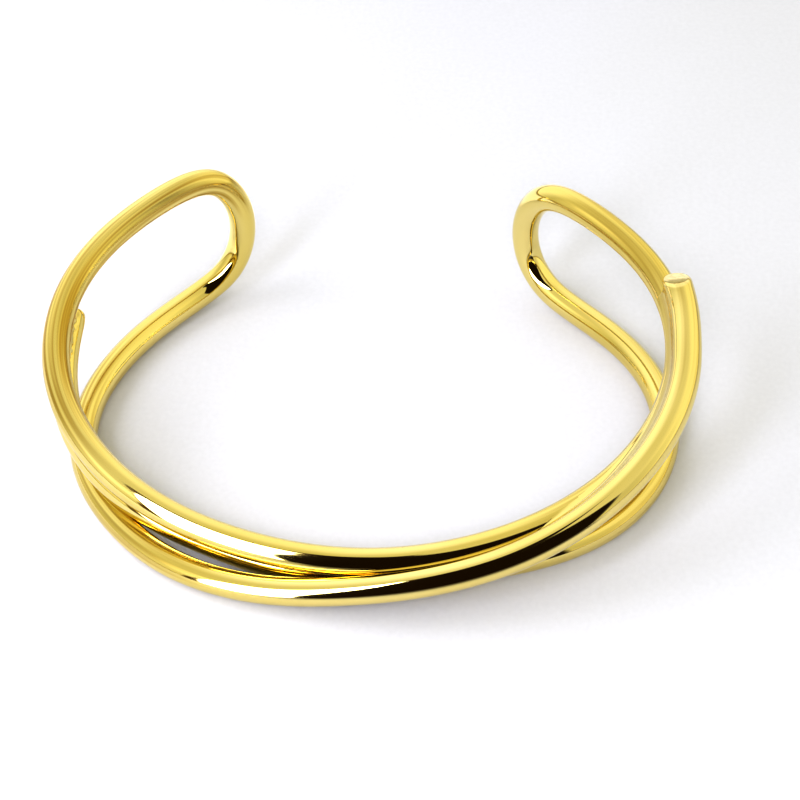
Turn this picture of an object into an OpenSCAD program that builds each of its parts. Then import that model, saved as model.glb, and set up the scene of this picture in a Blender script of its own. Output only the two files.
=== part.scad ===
// Open cuff bangle: one round rod bent round the wrist, with a return loop at each side of the mouth.
// Both cut ends are soldered to the rod itself, so the whole bangle is one solid.
// The rod starts as a tail under the left arm's top rail, crosses the front on the floor, runs back along
// the right arm, turns up and over as the right loop, comes round as the top rail, turns down in the left
// loop, and comes forward to cross the front outside the rest and end on top of the right arm.

/* [Rod] */
// Diameter of the round rod
rod_d = 3; // [2.7:0.05:3.1]
// Radius of the solder that fills the groove between two strands
solder_r = 1.05; // [0.6:0.05:1.2]
// Width of the softened edge round each cut end
soft_edge = 0.35; // [0.1:0.05:0.6]
// How far the right end's cut slopes, as height over length
cut_slope = 1; // [0:0.1:1.2]

/* [Plan] */
// Mean radius of the top rail seen from above
mean_r = 27.6; // [25:0.1:32]
// How much the plan is widened across the wrist and flattened front to back
oval = 5; // [3:0.1:6]
// How much the plan is squared at its corners
square = 0.7; // [0:0.1:1.2]

/* [Heights] */
// Height of the top rail's centre at the front
front_h = 4.3; // [4:0.1:6]
// Rise of the top rail from the front to the back
arm_rise = 12.8; // [9:0.1:14]
// Height of the right loop between its rails
right_loop_h = 15.1; // [12:0.1:18]
// Height of the left loop between its rails
left_loop_h = 15.8; // [12:0.1:18]

/* [Mouth] */
// Degrees by which both loops stand further back, which narrows the mouth
mouth_turn = 0; // [-4:0.5:5]

/* [Hidden] */
rod_r = rod_d / 2;
low = rod_r;              // height of a centre when the rod lies on the floor
sides = 16;               // sides of the rod, which are flat where it lies on the floor
flat_r = rod_r / cos(180 / sides);
rings_per_row = 4;        // sections between one table row and the next
slope_fade = 4.5;         // length over which the rod's sections lean into the sloping cut
leaning_rings = 20;       // sections before the right end that can lean
left_solder = [2, 12];    // first and last section with solder, counted from the left cut end
right_solder = [2, 24];   // the same from the right end, where the solder runs on towards the front
solder_step = 2;          // sections from one blob of solder to the next
blob_sides = 10;          // sides of each blob
middle = [0.33, -1.76];   // centre of the bounding box in plan, taken off so that the origin is at its middle

// Plan of the top rail: one row for each wave round the circle, with the share of cosine and sine.
plan_waves = [
    // times, cosine, sine
    [1, -0.1, -0.1],
    [2, -oval, 0.3],
    [3, 0, -0.1],
    [4, square, 0.1]
];

// Height of the top rail: one row for each wave, which adds its rise from the front.
height_waves = [
    // times, rise
    [1, arm_rise],
    [2, 3.5],
    [3, -2.9]
];
arm_twist = 0.2;          // sideways lean of the top rail's height

// Every strand below has the columns angle, out and up.
// angle: degrees round from the front, plus to the right
// out: distance outside the top rail's plan
// up: height of the rod's centre

// from the cut end under the left arm, down to the floor, across the front and back along the right arm
inner_rows = [
    [-97.5, 0.05, 10.8],
    [-96, -0.3, 10.7],
    [-88, -0.45, 9.2],
    [-75, -0.15, 6.75],
    [-60, -0.3, 3.95],
    [-40, -1.4, low],
    [-20, -0.4, low],
    [0, -0.95, low],
    [20, -0.8, low],
    [40, -0.2, low],
    [60, 0.7, low],
    [80, -0.6, low],
    [100, -1.35, low],
    [120, -0.9, low]
];

// forward along the left arm, across the front outside the rest, and up on to the right arm
outer_rows = [
    [-120, -1.85, low],
    [-100, -3.05, low],
    [-80, -1.3, low],
    [-60, 0.9, low],
    [-40, 3.55, low],
    [-20, 3.2, low],
    [0, 2.6, 3],
    [20, 3, 4.45],
    [40, 3.05, 5.95],
    [60, 2.5, 9.3],
    [80, 1.4, 13.75],
    [88, 0.55, 15.4],
    [95, 0.55, 16.35],
    [100, 0.5, 17.4]
];

// The loops, from the floor up: angle back from the front, out, and share of the loop's height.
right_loop_rows = [
    [131, -0.05, 0.03],
    [138, 1.1, 0.08],
    [143.6, 2.3, 0.25],
    [145.1, 2.8, 0.56],
    [140.9, 2.2, 0.88],
    [133, 0.8, 1.04]
];
left_loop_rows = [
    [131.1, -0.45, 0.03],
    [137.2, -0.3, 0.14],
    [142, 0.4, 0.34],
    [143.4, 0.9, 0.65],
    [140, 1.2, 0.92],
    [133, 0.45, 1.04]
];
rail_step = 20;           // degrees between the rows of the top rail
rail_end = 120;           // angle of its first and last rows

function rail_r(a) = mean_r + wave_sum([for (w = plan_waves) w[1] * cos(w[0] * a) + w[2] * sin(w[0] * a)]);
function rail_h(a) =
    front_h + arm_twist * sin(2 * a) + wave_sum([for (w = height_waves) w[1] * (1 - cos(w[0] * a)) / 2]);
function wave_sum(v, i = 0) = i < len(v) ? v[i] + wave_sum(v, i + 1) : 0;

function loop_row(row, side, height) = [side * (row[0] + mouth_turn), row[1], low + height * row[2]];
right_loop = [for (row = right_loop_rows) loop_row(row, 1, right_loop_h)];
left_loop = [for (i = [len(left_loop_rows) - 1 : -1 : 0]) loop_row(left_loop_rows[i], -1, left_loop_h)];
top_rail = [for (a = [rail_end : -rail_step : -rail_end]) [a, 0, rail_h(a)]];

rows = concat(inner_rows, right_loop, top_rail, left_loop, outer_rows);
last_row = len(rows) - 1;

// Smooth curve through the rows. A row beyond each end makes it start and stop at the end rows.
ends_added = concat([2 * rows[0] - rows[1]], rows, [2 * rows[last_row] - rows[last_row - 1]]);
function blend(i, t) =
    (pow(1 - t, 3) * ends_added[i]
    + (3 * pow(t, 3) - 6 * pow(t, 2) + 4) * ends_added[i + 1]
    + (1 + 3 * t + 3 * pow(t, 2) - 3 * pow(t, 3)) * ends_added[i + 2]
    + pow(t, 3) * ends_added[i + 3]) / 6;
function placed(row) = let (r = rail_r(row[0]) + row[1])
    [r * sin(row[0]) - middle[0], -r * cos(row[0]) - middle[1], row[2]];

last_ring = last_row * rings_per_row;
smooth_rows = [for (k = [0 : last_ring])
    let (i = min(floor(k / rings_per_row), last_row - 1))
    blend(i, k / rings_per_row - i)];
centres = [for (row = smooth_rows) placed(row)];

function unit(v) = v / norm(v);
function along(k) = unit(centres[min(k + 1, last_ring)] - centres[max(k - 1, 0)]);
function outward(k) = let (a = smooth_rows[k][0], t = along(k), o = [sin(a), -cos(a), 0])
    unit(o - (o * t) * t);

// One section of the rod: radius, shift along the rod, and lean, which moves its upper side back.
function ring(k, r, shift = 0, lean = 0) =
    let (t = along(k), o = outward(k), u = cross(o, t), rise = u[2] < 0 ? -1 : 1)
    [for (j = [0 : sides - 1])
        let (a = (j + 0.5) * 360 / sides)
        centres[k] + r * (cos(a) * o + sin(a) * u) + (shift - lean * r * sin(a) * rise) * t];

// The sections near the right end lean more and more until they match the sloping cut.
function lean_at(k) = let (away = norm(centres[last_ring] - centres[k]))
    k > last_ring - leaning_rings ? cut_slope * max(0, 1 - away / slope_fade) : 0;

module swept(rings) {
    n = len(rings);
    faces = concat(
        [[for (j = [sides - 1 : -1 : 0]) j]],
        [[for (j = [0 : sides - 1]) (n - 1) * sides + j]],
        [for (i = [0 : n - 2]) for (j = [0 : sides - 1])
            let (a = i * sides + j, b = i * sides + (j + 1) % sides)
            each [[a, b, b + sides], [a, b + sides, a + sides]]]
    );
    polyhedron(points = [for (r = rings) each r], faces = faces);
}

// The rod is made in three lengths that share their end sections inside the loops.
right_turn = (len(inner_rows) + 3) * rings_per_row;
left_turn = (len(inner_rows) + len(right_loop) + len(top_rail) + 2) * rings_per_row;

module rod() {
    swept(concat(
        [ring(0, flat_r - soft_edge, -soft_edge)],
        [for (k = [0 : right_turn]) ring(k, flat_r)]
    ));
    swept([for (k = [right_turn : left_turn]) ring(k, flat_r)]);
    swept(concat(
        [for (k = [left_turn : last_ring]) ring(k, flat_r, 0, lean_at(k))],
        [ring(last_ring, flat_r - soft_edge, soft_edge, cut_slope)]
    ));
}

// Solder lies half way between a strand's centre and the top rail's, in a chain of round blobs.
function rail_beside(k) = let (a = smooth_rows[k][0]) placed([a, 0, rail_h(a)]);
module blob(k) {
    translate((centres[k] + rail_beside(k)) / 2)
        sphere(r = solder_r, $fn = blob_sides);
}
module solder(first, last) {
    for (k = [first : solder_step : last - solder_step])
        hull() {
            blob(k);
            blob(k + solder_step);
        }
}

module bangle() {
    color("goldenrod")
        union() {
            rod();
            solder(left_solder[0], left_solder[1]);
            solder(last_ring - right_solder[1], last_ring - right_solder[0]);
        }
}

bangle();
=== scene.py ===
import bpy
import math
import numpy as np
from mathutils import Matrix, Vector


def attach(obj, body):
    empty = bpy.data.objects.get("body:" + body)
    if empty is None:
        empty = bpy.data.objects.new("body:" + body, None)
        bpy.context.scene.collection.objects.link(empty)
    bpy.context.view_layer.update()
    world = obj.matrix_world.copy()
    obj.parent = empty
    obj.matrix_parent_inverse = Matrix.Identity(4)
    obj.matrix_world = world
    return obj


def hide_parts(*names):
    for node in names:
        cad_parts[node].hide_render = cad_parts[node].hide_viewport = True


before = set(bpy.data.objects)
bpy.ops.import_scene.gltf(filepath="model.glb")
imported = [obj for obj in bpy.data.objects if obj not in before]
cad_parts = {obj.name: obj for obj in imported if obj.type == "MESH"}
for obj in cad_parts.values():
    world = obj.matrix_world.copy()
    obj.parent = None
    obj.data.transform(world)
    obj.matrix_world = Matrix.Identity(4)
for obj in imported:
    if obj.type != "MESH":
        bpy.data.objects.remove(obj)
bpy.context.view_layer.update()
scene = bpy.context.scene
mm = 0.001


def linear(hexCode):
    parts = [int(hexCode[i:i + 2], 16) / 255 for i in (1, 3, 5)]
    return tuple(p / 12.92 if p <= 0.04045 else ((p + 0.055) / 1.055) ** 2.4 for p in parts) + (1.0,)


# adds one node; settings are its own properties, inputs are sockets by name or number, linked or set
def addNode(tree, kind, inputs=None, **settings):
    node = tree.nodes.new(kind)
    for key, value in settings.items():
        setattr(node, key, value)
    for key, value in (inputs or {}).items():
        if isinstance(value, bpy.types.NodeSocket):
            tree.links.new(value, node.inputs[key])
        else:
            node.inputs[key].default_value = value
    return node


low = 1.5  # the rod's radius in mm, so also the height of its centre where it lies on the floor

# the rod's path, in millimetres, from the same sizes as the part's source
rod = {
    "radius": low,
    "softEdge": 0.35,          # width of the softened edge round each cut end
    "softSteps": 6,            # sections in each softened edge
    "cutSlope": 1.0,           # how far the right end's cut slopes, as height over length
    "slopeFade": 4.5,          # length over which the sections lean into the sloping cut
    "middle": (0.33, -1.76),   # centre of the bounding box in plan
    "meanRadius": 27.6,
    "frontHeight": 4.3,
    "armTwist": 0.2,
    "planWaves": [(1, -0.1, -0.1), (2, -5.0, 0.3), (3, 0.0, -0.1), (4, 0.7, 0.1)],  # times, cosine, sine
    "heightWaves": [(1, 12.8), (2, 3.5), (3, -2.9)],  # times, rise
    # angle round from the front, distance outside the top rail's plan, height
    "innerRows": [(-97.5, 0.05, 10.8), (-96, -0.3, 10.7), (-88, -0.45, 9.2), (-75, -0.15, 6.75),
                  (-60, -0.3, 3.95), (-40, -1.4, low), (-20, -0.4, low), (0, -0.95, low), (20, -0.8, low),
                  (40, -0.2, low), (60, 0.7, low), (80, -0.6, low), (100, -1.35, low), (120, -0.9, low)],
    "outerRows": [(-120, -1.85, low), (-100, -3.05, low), (-80, -1.3, low), (-60, 0.9, low),
                  (-40, 3.55, low), (-20, 3.2, low), (0, 2.6, 3.0), (20, 3.0, 4.45), (40, 3.05, 5.95),
                  (60, 2.5, 9.3), (80, 1.4, 13.75), (88, 0.55, 15.4), (95, 0.55, 16.35), (100, 0.5, 17.4)],
    # angle back from the front, out, share of the loop's height
    "rightLoop": {"height": 15.1, "rows": [(131, -0.05, 0.03), (138, 1.1, 0.08), (143.6, 2.3, 0.25),
                                           (145.1, 2.8, 0.56), (140.9, 2.2, 0.88), (133, 0.8, 1.04)]},
    "leftLoop": {"height": 15.8, "rows": [(131.1, -0.45, 0.03), (137.2, -0.3, 0.14), (142, 0.4, 0.34),
                                          (143.4, 0.9, 0.65), (140, 1.2, 0.92), (133, 0.45, 1.04)]},
    "railEnd": 120,            # angle of the top rail's first and last rows
    "railStep": 20,            # degrees between its rows
    "sides": 48,
    "ringStep": 0.32,          # length from one section to the next
    "measureSteps": 20000,     # short straight steps by which the path's length is measured
}


def railRadius(angle):
    a = np.radians(angle)
    return rod["meanRadius"] + sum(c * np.cos(n * a) + s * np.sin(n * a) for n, c, s in rod["planWaves"])


def railHeight(angle):
    a = np.radians(angle)
    waves = sum(rise * (1 - np.cos(n * a)) / 2 for n, rise in rod["heightWaves"])
    return rod["frontHeight"] + rod["armTwist"] * np.sin(2 * a) + waves


def loopRows(side, loop):
    return [(side * a, out, low + loop["height"] * share) for a, out, share in loop["rows"]]


railAngles = range(rod["railEnd"], -rod["railEnd"] - 1, -rod["railStep"])
railRows = [(a, 0.0, float(railHeight(a))) for a in railAngles]
pathRows = np.array(rod["innerRows"] + loopRows(1, rod["rightLoop"]) + railRows
                    + loopRows(-1, rod["leftLoop"])[::-1] + rod["outerRows"], float)
railStart = len(rod["innerRows"]) + len(rod["rightLoop"]["rows"])  # the top rail's first row
railStop = railStart + len(railRows) - 1

# a row beyond each end makes the curve start and stop at the end rows
extended = np.vstack([2 * pathRows[0] - pathRows[1], pathRows, 2 * pathRows[-1] - pathRows[-2]])


# point of the smooth curve through the rows, as angle, out and height
def blendRows(s):
    i = np.minimum(np.floor(s).astype(int), len(pathRows) - 2)
    t = (s - i)[:, None]
    return ((1 - t) ** 3 * extended[i] + (3 * t ** 3 - 6 * t ** 2 + 4) * extended[i + 1]
            + (1 + 3 * t + 3 * t ** 2 - 3 * t ** 3) * extended[i + 2] + t ** 3 * extended[i + 3]) / 6


def placed(rows):
    a = np.radians(rows[:, 0])
    r = railRadius(rows[:, 0]) + rows[:, 1]
    return np.stack([r * np.sin(a) - rod["middle"][0], -r * np.cos(a) - rod["middle"][1], rows[:, 2]], 1)


def unit(v):
    return v / np.linalg.norm(v, axis=-1, keepdims=True)


# 1 between the two limits, fading smoothly to 0 over the given length outside them
def between(x, first, last, fade):
    rise = np.clip((x - first) / fade + 1, 0, 1) * np.clip((last - x) / fade + 1, 0, 1)
    return rise * rise * (3 - 2 * rise)


dense = np.linspace(0, len(pathRows) - 1, rod["measureSteps"] + 1)
denseSteps = np.linalg.norm(np.diff(placed(blendRows(dense)), axis=0), axis=1)
denseRun = np.concatenate([[0], np.cumsum(denseSteps)])
rodLength = denseRun[-1]
ringCount = int(rodLength / rod["ringStep"])
run = np.linspace(0, rodLength, ringCount)  # length along the rod at each section
rowAt = np.interp(run, denseRun, dense)
ringRows = blendRows(rowAt)
centres = placed(ringRows)
tangents = unit(np.gradient(centres, axis=0))
angles = np.radians(ringRows[:, 0])
outward = np.stack([np.sin(angles), -np.cos(angles), 0 * angles], 1)
outward = unit(outward - (outward * tangents).sum(1, keepdims=True) * tangents)
upward = np.cross(outward, tangents)
onRail = np.flatnonzero((rowAt >= railStart) & (rowAt <= railStop))
print("path:", ringCount, "sections over", round(float(rodLength), 1), "mm")


# faces of a bar whose rings all have the same number of points, closed at both ends
def barFaces(rings, sides, start):
    faces = []
    for i in range(rings - 1):
        a = start + i * sides
        b = a + sides
        faces += [(a + j, a + (j + 1) % sides, b + (j + 1) % sides, b + j) for j in range(sides)]
    last = start + (rings - 1) * sides
    faces.append(tuple(range(start, start + sides))[::-1])
    faces.append(tuple(range(last, last + sides)))
    return faces


# the rod with softened cut ends; each point also gets its place as if the rod were straight
def rodBar():
    r, soft, steps = rod["radius"], rod["softEdge"], rod["softSteps"]
    turn = np.arange(rod["sides"]) * 2 * math.pi / rod["sides"]
    flat = np.stack([np.cos(turn), np.sin(turn)], 1)
    around = flat[None, :, :1] * outward[:, None] + flat[None, :, 1:] * upward[:, None]
    rise = np.where(upward[:, 2] < 0, -1.0, 1.0)
    lean = rod["cutSlope"] * np.clip(1 - (rodLength - run) / rod["slopeFade"], 0, None)
    quarter = [math.radians(90 * (steps - i) / steps) for i in range(steps)]
    rounded = [(r - soft * (1 - math.cos(x)), soft * math.sin(x)) for x in quarter]
    sections = [(0, radius, -beyond, 0) for radius, beyond in rounded]
    sections += [(k, r, 0, lean[k]) for k in range(ringCount)]
    sections += [(ringCount - 1, radius, beyond, rod["cutSlope"]) for radius, beyond in reversed(rounded)]
    points, straight = [], []
    for k, radius, shift, leaning in sections:
        along = shift - leaning * radius * flat[:, 1] * rise[k]
        points.append(centres[k] + radius * around[k] + along[:, None] * tangents[k])
        straight.append(np.column_stack([run[k] + along, radius * flat]))
    return np.concatenate(points), np.concatenate(straight), len(sections)


# Solder in the grooves between each cut end's strand and the top rail. Lengths are in mm, from the cut end.
# The fillet's radius is given for the groove's upper side, 1, and its lower side, -1.
solder = {
    "right": {"from": 0.3, "to": 37.0, "fadeIn": 0.9, "fadeOut": 17.0, "fillet": {1: 4.0, -1: 1.1},
              "ripple": 0.02, "stain": 0.15, "stainEnd": 5.0},
    "left": {"from": 1.0, "to": 11.0, "fadeIn": 0.8, "fadeOut": 6.0, "fillet": {1: 0.9, -1: 0.9},
             "ripple": 0.35, "stain": 1.0, "stainEnd": 4.5},
    "stainReach": 0.9,               # distance over which the brown fades away from the solder
    "across": 10,                    # faces across each strip
    "least": 0.02,                   # radius of the fillet where the solder has run out
    "leastRise": 0.1,                # least distance of a fillet's centre from the line between the rods
    "slowWaves": (2.9, 1.7),         # ripples along the solder, in radians per mm
    "quickWave": {"rate": 7.3, "share": 0.6},
    "under": (0.14, 0.01),           # angle and depth at which a strip goes under each rod's skin
    "inside": (0.22, 0.3),           # angle and depth at which it turns inside the rod
}


# where a strip goes on round a rod, beyond the line along which it touches the rod
def wrapped(centre, touching, away):
    return [centre + (rod["radius"] - depth) * (math.cos(angle) * touching + math.sin(angle) * away)
            for angle, depth in (solder["under"], solder["inside"])]


# one hollow-faced strip of solder that touches both rods along a circle of the fillet's radius
def filletBar(seam, alongEnd, side):
    r, (slow, slower), quick = rod["radius"], solder["slowWaves"], solder["quickWave"]
    rings = np.flatnonzero((alongEnd > seam["from"] - seam["fadeIn"]) & (alongEnd < seam["to"]))
    points, straight = [], []
    for k in rings:
        own = centres[k]
        other = centres[onRail[np.linalg.norm(centres[onRail] - own, axis=1).argmin()]]
        apart = np.linalg.norm(other - own)
        normal = side * unit(np.cross(tangents[k], other - own))
        x = alongEnd[k]
        fadeLength = seam["fadeIn"] if x < seam["from"] else seam["fadeOut"]
        fade = between(x, seam["from"], seam["to"] - seam["fadeOut"], fadeLength)
        wobble = math.sin(slow * x) * math.sin(slower * x + side)
        wobble += quick["share"] * math.sin(quick["rate"] * x + 2 * side)
        f = max(solder["least"], seam["fillet"][side] * fade * (1 + seam["ripple"] * wobble))
        h = math.sqrt(max((r + f) ** 2 - (apart / 2) ** 2, solder["leastRise"] ** 2))
        hub = (own + other) / 2 + h * normal
        first, last = unit(own - hub), unit(other - hub)
        span = math.acos(float(np.clip(first @ last, -1, 1)))
        arc = [hub + f * (math.sin((1 - t) * span) * first + math.sin(t * span) * last) / math.sin(span)
               for t in np.linspace(0, 1, solder["across"] + 1)]
        ownUnder, ownInside = wrapped(own, -first, unit((last @ first) * first - last))
        otherUnder, otherInside = wrapped(other, -last, unit((last @ first) * last - first))
        ring = arc + [otherUnder, otherInside, (own + other) / 2, ownInside, ownUnder]
        ring = np.array(ring if side > 0 else ring[::-1])
        offset = ring - own
        points.append(ring)
        straight.append(np.column_stack([run[k] + offset @ tangents[k], offset @ outward[k],
                                         offset @ upward[k]]))
    return np.concatenate(points), np.concatenate(straight), len(rings)


# joins the rod and its solder; each row of seams is a point in the middle of the solder and how brown it is
def joinBars():
    points, straight, rings = rodBar()
    allPoints, allStraight, faces = [points], [straight], barFaces(rings, rod["sides"], 0)
    sharpEdges, seams = set(), []
    for seam, alongEnd, cutEnd in ((solder["right"], rodLength - run, centres[-1]),
                                   (solder["left"], run, centres[0])):
        for side in (1, -1):
            points, straight, rings = filletBar(seam, alongEnd, side)
            sides = len(points) // rings
            start = sum(len(p) for p in allPoints)
            faces += barFaces(rings, sides, start)
            for first in (start, start + (rings - 1) * sides):
                sharpEdges |= {tuple(sorted((first + j, first + (j + 1) % sides))) for j in range(sides)}
            allPoints.append(points)
            allStraight.append(straight)
            middles = points[solder["across"] // 2::sides]
            near = np.linalg.norm(middles - cutEnd, axis=1) < seam["stainEnd"]
            seams.append(np.column_stack([middles, np.full(len(middles), seam["stain"])])[near])
    return np.concatenate(allPoints), np.concatenate(allStraight), faces, sharpEdges, np.concatenate(seams)


skin = {
    # where sanding wasn't polished out: first and last row of the path, and how strong
    "satinStretches": [(30.0, 34.0, 1.0), (40.5, 42.5, 0.7), (49.5, 52.0, 0.3), (20.0, 23.0, 0.55),
                       (10.5, 12.0, 0.5)],
    "satinFade": 1.2,       # rows over which a stretch fades out
    "cutFaceSatin": 0.3,    # how strong it is on the right end's cut face
    "cutFaceDepth": 0.3,    # mm beyond the end of the rod's path at which the cut face has it in full
    "stainMargin": 4.0,     # mm round the seams in which the brown is worked out
    "stainBatch": 2000,     # points worked out at a time
}


def satinAt(straight):
    rows = np.interp(straight[:, 0], run, rowAt)
    satin = np.max([power * between(rows, first, last, skin["satinFade"])
                    for first, last, power in skin["satinStretches"]], axis=0)
    cutFace = np.clip((straight[:, 0] - rodLength) / skin["cutFaceDepth"], 0, 1)
    return np.maximum(satin * (1 - cutFace), skin["cutFaceSatin"] * cutFace)


def stainAt(points, seams):
    stain = np.zeros(len(points))
    near = np.flatnonzero(np.abs(points[:, 0]) > np.abs(seams[:, 0]).min() - skin["stainMargin"])
    for i in range(0, len(near), skin["stainBatch"]):
        part = near[i:i + skin["stainBatch"]]
        gap = np.linalg.norm(points[part][:, None] - seams[None, :, :3], axis=2)
        stain[part] = (np.exp(-(gap / solder["stainReach"]) ** 2) * seams[:, 3]).max(1)
    return stain


def makeBangle():
    points, straight, faces, sharpEdges, seams = joinBars()
    mesh = bpy.data.meshes.new("bangle_rod")
    mesh.from_pydata((points * mm).tolist(), [], faces)
    mesh.update()
    mesh.shade_smooth()
    for edge in mesh.edges:
        edge.use_edge_sharp = tuple(sorted(edge.vertices)) in sharpEdges
    mesh.attributes.new("straight", "FLOAT_VECTOR", "POINT").data.foreach_set("vector", straight.ravel())
    mesh.attributes.new("satin", "FLOAT", "POINT").data.foreach_set("value", satinAt(straight))
    mesh.attributes.new("stain", "FLOAT", "POINT").data.foreach_set("value", stainAt(points, seams))
    obj = bpy.data.objects.new("bangle_rod", mesh)
    scene.collection.objects.link(obj)
    return obj


bangle = makeBangle()
print("bangle:", len(bangle.data.polygons), "faces")

# Brass rod, gold plated after buffing with a soft wheel. The eye gets a hard mirror with fine lines along
# the rod, duller stretches with streaks and cross marks from sanding, and a browner, pitted skin beside the
# solder.
gold = {
    "pale": "#EBDA93",
    "deep": "#E3D07E",
    "streakColour": "#B08F32",
    "stainColour": "#8F6A28",
    "roughness": 0.03,
    "lineRoughness": 0.04,
    "satinRoughness": 0.15,
    "stainRoughness": 0.2,
    # length along the rod and width around it in mm, levels of detail, and a shift that keeps them apart
    "patterns": {
        "patch": (26.0, 5.0, 2.0, 0.0),       # pale and deep colour, and uneven satin
        "wave": (9.0, 6.0, 0.0, 7.0),         # unevenness left by bending by hand
        "line": (16.0, 0.28, 3.0, 13.0),      # polishing lines along the rod
        "streak": (30.0, 0.5, 1.0, 19.0),     # broader, duller lines left by sanding along the rod
        "crossMark": (0.26, 3.2, 2.0, 29.0),  # sanding marks across it, twice as coarse as real to show
        "pit": (0.9, 0.6, 3.0, 41.0),         # pits in the solder
    },
    "depth": {"wave": 0.014, "line": 0.00035, "streak": 0.012, "crossMark": 0.002, "pit": 0.012},  # mm
    # a pattern's values at which its effect starts and is full, and the effect there
    "deepRange": {"From Min": 0.38, "From Max": 0.62},
    "streakRange": {"From Min": 0.42, "From Max": 0.66, "To Max": 0.9},
    "stainRange": {"From Min": 0.4, "From Max": 0.7, "To Min": 0.15, "To Max": 0.9},
    "satinRange": {"From Min": 0.3, "From Max": 0.6, "To Min": 0.5},
}


def makeGold():
    material = bpy.data.materials.new("gold_plated_brass_buffed")
    material.use_nodes = True
    tree = material.node_tree
    surface = tree.nodes["Principled BSDF"]
    place = addNode(tree, "ShaderNodeAttribute", attribute_name="straight").outputs["Vector"]
    satin = addNode(tree, "ShaderNodeAttribute", attribute_name="satin").outputs["Fac"]
    stain = addNode(tree, "ShaderNodeAttribute", attribute_name="stain").outputs["Fac"]

    grain = {}
    for name, (length, width, detail, shift) in gold["patterns"].items():
        moved = addNode(tree, "ShaderNodeVectorMath", {
            0: place, 1: (1 / length, 1 / width, 1 / width), 2: (shift, shift, shift)},
            operation="MULTIPLY_ADD").outputs[0]
        grain[name] = addNode(tree, "ShaderNodeTexNoise", {
            "Vector": moved, "Scale": 1.0, "Detail": detail}).outputs["Fac"]

    # adds to a start value, for each row, a pattern where it shows, times an amount
    def addUp(start, rows):
        total = start
        for pattern, where, amount in rows:
            shown = addNode(tree, "ShaderNodeMath", {0: pattern, 1: where}, operation="MULTIPLY").outputs[0]
            total = addNode(tree, "ShaderNodeMath", {0: shown, 1: amount, 2: total},
                            operation="MULTIPLY_ADD").outputs[0]
        return total

    # colour: broad pale and deep patches, dull streaks on the satin, browner where the solder was heated
    deeper = addNode(tree, "ShaderNodeMapRange", {"Value": grain["patch"], **gold["deepRange"]}).outputs[0]
    dull = addNode(tree, "ShaderNodeMapRange", {"Value": grain["streak"], **gold["streakRange"]}).outputs[0]
    duller = addNode(tree, "ShaderNodeMath", {0: dull, 1: satin}, operation="MULTIPLY").outputs[0]
    pitted = addNode(tree, "ShaderNodeMapRange", {"Value": grain["pit"], **gold["stainRange"]}).outputs[0]
    browner = addNode(tree, "ShaderNodeMath", {0: stain, 1: pitted}, operation="MULTIPLY").outputs[0]
    colour = linear(gold["pale"])
    for share, tint in ((deeper, "deep"), (duller, "streakColour"), (browner, "stainColour")):
        colour = addNode(tree, "ShaderNodeMix", {"Factor": share, 6: colour, 7: linear(gold[tint])},
                         data_type="RGBA").outputs[2]

    # roughness: fine lines everywhere, more on the satin stretches and beside the solder
    uneven = addNode(tree, "ShaderNodeMapRange", {"Value": grain["patch"], **gold["satinRange"]}).outputs[0]
    rough = addUp(gold["roughness"], [
        (grain["line"], 1.0, gold["lineRoughness"]),
        (uneven, satin, gold["satinRoughness"]),
        (browner, 1.0, gold["stainRoughness"]),
    ])

    # height in millimetres
    shownWhere = {"wave": 1.0, "line": 1.0, "streak": satin, "crossMark": satin, "pit": browner}
    height = addUp(0.0, [(grain[name], where, gold["depth"][name]) for name, where in shownWhere.items()])
    relief = addNode(tree, "ShaderNodeBump", {"Height": height, "Strength": 1.0, "Distance": mm})

    surface.inputs["Metallic"].default_value = 1.0
    tree.links.new(colour, surface.inputs["Base Color"])
    tree.links.new(rough, surface.inputs["Roughness"])
    tree.links.new(relief.outputs[0], surface.inputs["Normal"])
    return material


bangle.data.materials.append(makeGold())
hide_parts("bangle")
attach(bangle, "root")
print("gold: done")

# Uncoated white paper, matt, with a very faint tooth. Its colours are a little under white, because the
# lamps bring the sheet up to the photograph's bright white.
paper = {"halfSize": 3.0, "colour": "#C6C6CD", "shade": "#BEBEC5", "roughness": 0.75, "toothMm": 0.6}


def makeFloor():
    half = paper["halfSize"]  # in metres
    mesh = bpy.data.meshes.new("floor")
    corners = [(-half, -half, 0), (half, -half, 0), (half, half, 0), (-half, half, 0)]
    mesh.from_pydata(corners, [], [(0, 1, 2, 3)])
    floor = bpy.data.objects.new("floor", mesh)
    scene.collection.objects.link(floor)
    material = bpy.data.materials.new("white_paper")
    material.use_nodes = True
    tree = material.node_tree
    surface = tree.nodes["Principled BSDF"]
    place = addNode(tree, "ShaderNodeNewGeometry").outputs["Position"]
    tooth = addNode(tree, "ShaderNodeTexNoise", {
        "Vector": place, "Scale": 1 / (paper["toothMm"] * mm)}).outputs["Fac"]
    tone = addNode(tree, "ShaderNodeMix", {
        "Factor": tooth, 6: linear(paper["colour"]), 7: linear(paper["shade"])},
        data_type="RGBA").outputs[2]
    tree.links.new(tone, surface.inputs["Base Color"])
    surface.inputs["Roughness"].default_value = paper["roughness"]
    mesh.materials.append(material)
    return floor


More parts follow.
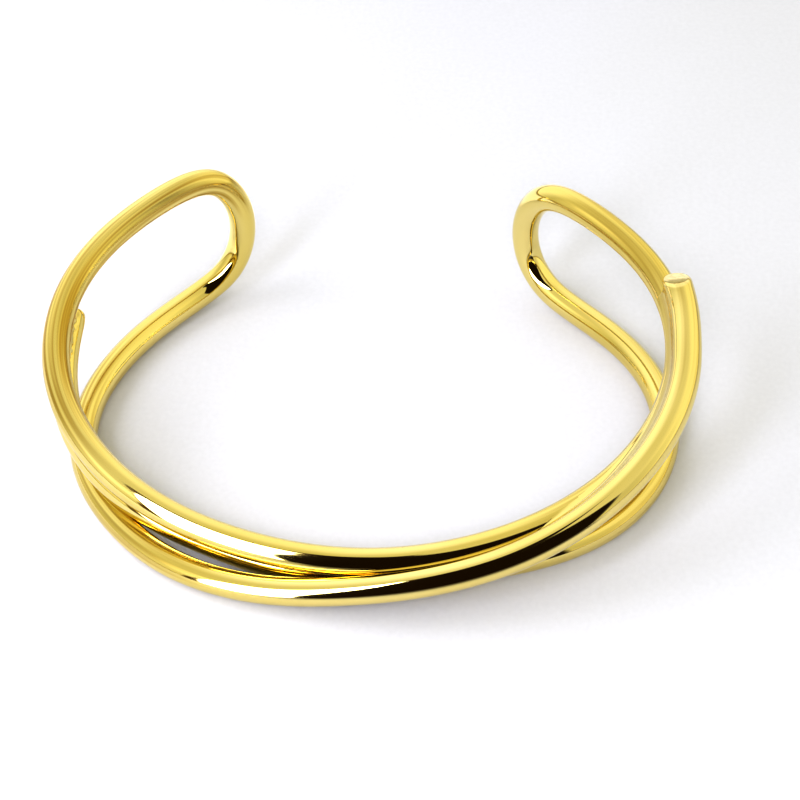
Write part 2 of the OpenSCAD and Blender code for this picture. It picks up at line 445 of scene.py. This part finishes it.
# Light, in mm and degrees: azimuth 0 is +Y and 90 is +X. An outline's rows are elevation, first and last
# azimuth. Each card is seen in the gold, or lights the paper, or both.
studio = {
    # the dark side of the room, behind the camera
    "darkSide": {
        "outline": [(-2, 137, 214), (30, 137, 214), (40, 138, 216), (51, 147, 218), (62, 161, 224),
                    (70, 176, 236), (76, 184, 241), (81, 193, 241)],
        "sides": (3, 2), "ends": (1, 3), "distance": 345.0, "colour": "#2A1C0C", "power": 1.0,
        "onPaper": False, "inGold": True},
    "windowFrame": {
        "outline": [(-1, 204, 226), (12, 205, 226), (20, 206, 223.5), (52, 208, 226), (60, 212, 231),
                    (66, 217, 234), (72, 226, 238)],
        "sides": (0.5, 1.0), "ends": (1, 2), "distance": 340.0, "colour": "#6E5528", "power": 1.0,
        "onPaper": False, "inGold": True},
    "window": {
        "outline": [(3, 202.5, 220), (16, 204.5, 221.5), (45, 207.5, 225), (56, 210.5, 226.5),
                    (62, 215.5, 228), (66, 220, 229), (70, 226, 231)],
        "sides": (0.5, 0.8), "ends": (0.5, 1), "distance": 330.0, "colour": "#E8ECFF", "power": 12.0,
        "onPaper": True, "inGold": True},
    # soft lamps on the left and behind the camera
    "lampLeft": {
        "outline": [(28, 256, 290), (34, 252, 294), (54, 252, 294), (60, 256, 290)],
        "sides": (4, 4), "ends": (4, 4), "distance": 200.0, "colour": "#FAFAFF", "power": 5.0,
        "onPaper": True, "inGold": False},
    "lampFront": {
        "outline": [(41, 164, 184), (53, 164, 184)],
        "sides": (2, 2), "ends": (2, 2), "distance": 300.0, "colour": "#FAFAFF", "power": 21.0,
        "onPaper": True, "inGold": False},
    "outlineSteps": {"up": 30, "across": 25},  # points worked out along each sky card's outline
    # the shaded part of the table in front, and its sunlit part on the left and behind;
    # rows are depth, left and right edges, and cover
    "tableShade": {
        "rows": [(-31, -8, 42, 0), (-38, -10, 46, 0.2), (-46, -12, 52, 0.55), (-60, -16, 64, 0.85),
                 (-330, -95, 270, 0.95)],
        "colour": "#2A1C0C", "power": 1.0, "onPaper": False, "inGold": True},
    "tableGlow": {
        "rows": [(-5, -330, -60, 0), (10, -330, -52, 0.6), (30, -330, -28, 0.9), (45, -330, -5, 1),
                 (90, -330, 30, 1), (330, -330, 120, 1)],
        "colour": "#E8E9FF", "power": 1.8, "onPaper": False, "inGold": True},
    # width of the table cards' soft edges at depth 0, how much it grows per mm of depth, and their height
    "tableEdge": {"width": 8.0, "growth": 0.1, "height": 0.2},
    "ceiling": "#FFFCE2",
    "level": 1.0,
    # soft lobes of the room: azimuth, elevation, inner and outer half angles, colour, strength
    "lobes": [
        (328, 20, 18, 62, "#C6D2FF", 0.80),
        (70, 25, 25, 60, "#FFFFDC", 0.30),
        (238, 25, 8, 30, "#FFFFFF", 0.14),
        (230, 34, 5, 17, "#FFFFFF", 0.40),
        (124, 25, 8, 26, "#FFFFFF", -0.16),
        (270, 12, 10, 34, "#FFFFFF", -0.12),
    ],
    # brown edge of the table, up to this elevation, and the share of that height at which it starts to fade
    "horizon": {"top": 2.5, "fadeFrom": 0.7, "colour": "#CDB77A"},
    "gamma": 0.75,  # a small camera's strong contrast
    "exposure": 0.0,
}


def direction(azimuth, elevation):
    a, e = math.radians(azimuth), math.radians(elevation)
    return Vector((math.sin(a) * math.cos(e), math.cos(a) * math.cos(e), math.sin(e)))


# a glowing card that the camera doesn't see, from a grid of points and how much it covers at each
def makeCard(name, grid, cover):
    spec = studio[name]
    high, wide = cover.shape
    faces = [(j * wide + i, j * wide + i + 1, (j + 1) * wide + i + 1, (j + 1) * wide + i)
             for j in range(high - 1) for i in range(wide - 1)]
    mesh = bpy.data.meshes.new(name)
    mesh.from_pydata((grid.reshape(-1, 3) * mm).tolist(), [], faces)
    mesh.attributes.new("cover", "FLOAT", "POINT").data.foreach_set("value", cover.ravel())
    card = bpy.data.objects.new(name, mesh)
    scene.collection.objects.link(card)
    material = bpy.data.materials.new(name)
    material.use_nodes = True
    tree = material.node_tree
    tree.nodes.clear()
    share = addNode(tree, "ShaderNodeAttribute", attribute_name="cover").outputs["Fac"]
    clear = addNode(tree, "ShaderNodeBsdfTransparent").outputs[0]
    glow = addNode(tree, "ShaderNodeEmission", {
        "Color": linear(spec["colour"]), "Strength": spec["power"]}).outputs[0]
    mixed = addNode(tree, "ShaderNodeMixShader", {0: share, 1: clear, 2: glow}).outputs[0]
    addNode(tree, "ShaderNodeOutputMaterial", {"Surface": mixed})
    mesh.materials.append(material)
    card.visible_camera = False
    card.visible_diffuse = spec["onPaper"]
    card.visible_shadow = spec["onPaper"]
    card.visible_glossy = spec["inGold"]
    return card


# part of the sky round the bangle, with soft edges
def skyCard(name):
    spec, steps = studio[name], studio["outlineSteps"]
    outline = np.array(spec["outline"], float)
    bottom, top = outline[0, 0], outline[-1, 0]
    elevations = np.concatenate([[bottom - spec["ends"][0]], np.linspace(bottom, top, steps["up"]),
                                 [top + spec["ends"][1]]])
    first, last = (np.interp(elevations, outline[:, 0], outline[:, k]) for k in (1, 2))
    spread = np.linspace(0, 1, steps["across"])
    azimuths = np.column_stack([first - spec["sides"][0], first[:, None] + spread * (last - first)[:, None],
                                last + spec["sides"][1]])
    directions = [[direction(a, e) for a in row] for row, e in zip(azimuths, elevations)]
    cover = np.ones(azimuths.shape)
    cover[[0, -1]] = 0
    cover[:, [0, -1]] = 0
    return makeCard(name, np.array(directions) * spec["distance"], cover)


# part of the table, with soft edges
def tableCard(name):
    soft = studio["tableEdge"]
    grid, cover = [], []
    for depth, left, right, full in studio[name]["rows"]:
        edge = soft["width"] + soft["growth"] * abs(depth)
        across = [left - edge, left - edge / 2, left, right, right + edge / 2, right + edge]
        grid.append([(x, depth, soft["height"]) for x in across])
        cover.append([0, full / 2, full, full, full / 2, 0])
    return makeCard(name, np.array(grid, float), np.array(cover, float))


def makeRoom():
    world = bpy.data.worlds.new("studio")
    scene.world = world
    world.use_nodes = True
    tree = world.node_tree
    background = tree.nodes["Background"]
    look = addNode(tree, "ShaderNodeTexCoord").outputs["Generated"]
    colour = linear(studio["ceiling"])[:3]
    for azimuth, elevation, inner, outer, tint, strength in studio["lobes"]:
        facing = addNode(tree, "ShaderNodeVectorMath", {0: look, 1: tuple(direction(azimuth, elevation))},
                         operation="DOT_PRODUCT").outputs["Value"]
        lobe = addNode(tree, "ShaderNodeMapRange", {
            "Value": facing, "From Min": math.cos(math.radians(outer)),
            "From Max": math.cos(math.radians(inner)), "To Max": strength},
            interpolation_type="SMOOTHSTEP").outputs[0]
        glow = addNode(tree, "ShaderNodeVectorMath", {0: linear(tint)[:3], "Scale": lobe},
                       operation="SCALE").outputs[0]
        colour = addNode(tree, "ShaderNodeVectorMath", {0: colour, 1: glow}, operation="ADD").outputs[0]
    horizon = studio["horizon"]
    top = math.sin(math.radians(horizon["top"]))
    up = addNode(tree, "ShaderNodeSeparateXYZ", {0: look}).outputs["Z"]
    above = addNode(tree, "ShaderNodeMapRange", {
        "Value": up, "From Min": top * horizon["fadeFrom"], "From Max": top}).outputs[0]
    colour = addNode(tree, "ShaderNodeMix", {"Factor": above, 6: linear(horizon["colour"]), 7: colour},
                     data_type="RGBA").outputs[2]
    tree.links.new(colour, background.inputs["Color"])
    background.inputs["Strength"].default_value = studio["level"]


floor = makeFloor()
cards = [skyCard(name) for name in ("darkSide", "windowFrame", "window", "lampLeft", "lampFront")]
cards += [tableCard(name) for name in ("tableShade", "tableGlow")]
makeRoom()
scene.view_settings.view_transform = "Standard"
scene.view_settings.gamma = studio["gamma"]
scene.view_settings.exposure = studio["exposure"]
print("studio: done")

# camera at the photograph's angle, in degrees and mm; its focal length is in pixels of the square picture
shot = {"azimuth": -7.457, "elevation": 46.794, "roll": -3.515, "distance": 237.81,
        "target": (2.64, 5.32, 0.0), "focalPixels": 2128.3, "picturePixels": 800, "sensor": 36,
        "nearest": 10}


def makeCamera():
    a, e, r = (math.radians(shot[k]) for k in ("azimuth", "elevation", "roll"))
    forward = Vector((math.sin(a) * math.cos(e), math.cos(a) * math.cos(e), -math.sin(e)))
    right = Vector((math.cos(a), -math.sin(a), 0))
    up = right.cross(forward)
    right, up = right * math.cos(r) + up * math.sin(r), up * math.cos(r) - right * math.sin(r)
    data = bpy.data.cameras.new("camera")
    data.lens = shot["focalPixels"] / shot["picturePixels"] * shot["sensor"]
    data.sensor_width = shot["sensor"]
    data.clip_start = shot["nearest"] * mm
    camera = bpy.data.objects.new("camera", data)
    scene.collection.objects.link(camera)
    place = Matrix((right, up, -forward)).transposed().to_4x4()
    place.translation = (Vector(shot["target"]) - forward * shot["distance"]) * mm
    camera.matrix_world = place
    scene.camera = camera


makeCamera()
